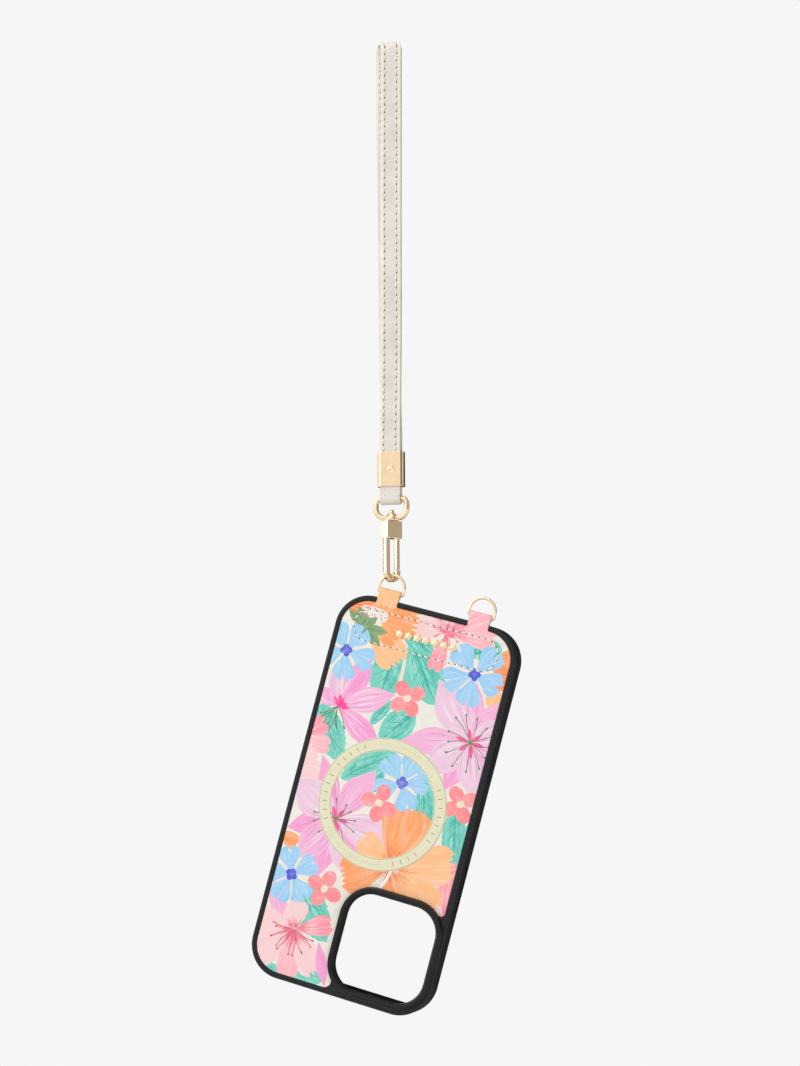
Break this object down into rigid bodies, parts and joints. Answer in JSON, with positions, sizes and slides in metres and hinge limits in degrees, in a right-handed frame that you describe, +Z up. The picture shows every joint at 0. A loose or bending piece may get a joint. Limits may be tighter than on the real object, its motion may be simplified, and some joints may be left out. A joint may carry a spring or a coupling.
{
  "type": "phone case with wrist strap",
  "caption": "Leather-backed bumper phone case with a floral print, D-rings in leather tabs and a magnet ring, hanging by a swivel snap hook from a looped wrist strap.",
  "frame": {"origin": "inside top of the strap's loop, where a peg or a hand carries the hanging case", "axes": "+Z up, -Y the printed leather side, +X to the right of someone who looks at the leather"},
  "size_m": [0.1162, 0.016, 0.4196],
  "materials": {
    "strap_leather": "soft grained, satin",
    "strap_webbing": "woven",
    "thread": "twisted polyester",
    "gold_metal": "polished light gold",
    "spring_steel": "drawn wire",
    "bumper_black": "matte moulded",
    "plate_black": "matte moulded",
    "printed_leather": "printed floral, fine grain",
    "inlay_cream": "smooth satin",
    "magnet_nickel": "nickel plated",
    "lining_felt": "microfibre"
  },
  "bodies": {
    "strap": {"strap_outer": "strap_leather", "strap_core": "strap_webbing", "strap_lining": "strap_leather", "strap_fold": "strap_leather", "strap_stitching": "thread", "strap_clamp": "gold_metal"},
    "eye": {"swivel_eye": "gold_metal"},
    "hook": {"hook_body": "gold_metal", "swivel_post": "gold_metal", "gate_pin": "gold_metal", "gate_spring": "spring_steel"},
    "gate": {"gate": "gold_metal"},
    "left_ring": {"left_d_ring": "gold_metal"},
    "case": {"bumper_frame": "bumper_black", "back_plate": "plate_black", "leather_panel": "printed_leather", "ring_inlay": "inlay_cream", "panel_stitching": "thread", "badge_studs": "gold_metal", "camera_guard": "bumper_black", "magnet_array": "magnet_nickel", "alignment_magnet": "magnet_nickel", "inner_lining": "lining_felt"},
    "right_ring": {"right_d_ring": "gold_metal"},
    "side_button": {"side_button": "bumper_black"},
    "volume_up": {"volume_up_button": "bumper_black"},
    "volume_down": {"volume_down_button": "bumper_black"}
  },
  "joints": [
    {"name": "eye_swing", "type": "hinge", "parent": "strap", "child": "eye", "pos_m": [0, 0, -0.1997], "axis": [1, 0, 0], "range_deg": [-70, 70]},
    {"name": "hook_swivel", "type": "hinge", "parent": "eye", "child": "hook", "pos_m": [0, 0, -0.2081], "axis": [0, 0, 1], "continuous": true},
    {"name": "gate_open", "type": "hinge", "parent": "hook", "child": "gate", "pos_m": [0.00155, 0.0028, -0.21475], "axis": [-0.8746, 0.4848, 0], "range_deg": [0, 13], "stiffness_Nm_per_rad": 0.02, "springref_deg": -5.73},
    {"name": "ring_slip", "type": "hinge", "parent": "hook", "child": "left_ring", "pos_m": [0, 0, -0.23804], "axis": [0, 1, 0], "range_deg": [-40, 40]},
    {"name": "case_swing", "type": "hinge", "parent": "left_ring", "child": "case", "pos_m": [-0.00062, 0, -0.24025], "axis": [0.9632, 0, -0.2689], "range_deg": [-60, 60]},
    {"name": "right_ring_turn", "type": "hinge", "parent": "case", "child": "right_ring", "pos_m": [0.03887, 0, -0.25128], "axis": [0.9632, 0, -0.2689], "range_deg": [-95, 132]},
    {"name": "side_button_press", "type": "slide", "parent": "case", "child": "side_button", "axis": [-0.9632, 0, 0.2689], "range_m": [0, 0.0004], "stiffness_N_per_m": 2000},
    {"name": "volume_up_press", "type": "slide", "parent": "case", "child": "volume_up", "axis": [0.9632, 0, -0.2689], "range_m": [0, 0.0004], "stiffness_N_per_m": 2000},
    {"name": "volume_down_press", "type": "slide", "parent": "case", "child": "volume_down", "axis": [0.9632, 0, -0.2689], "range_m": [0, 0.0004], "stiffness_N_per_m": 2000}
  ]
}
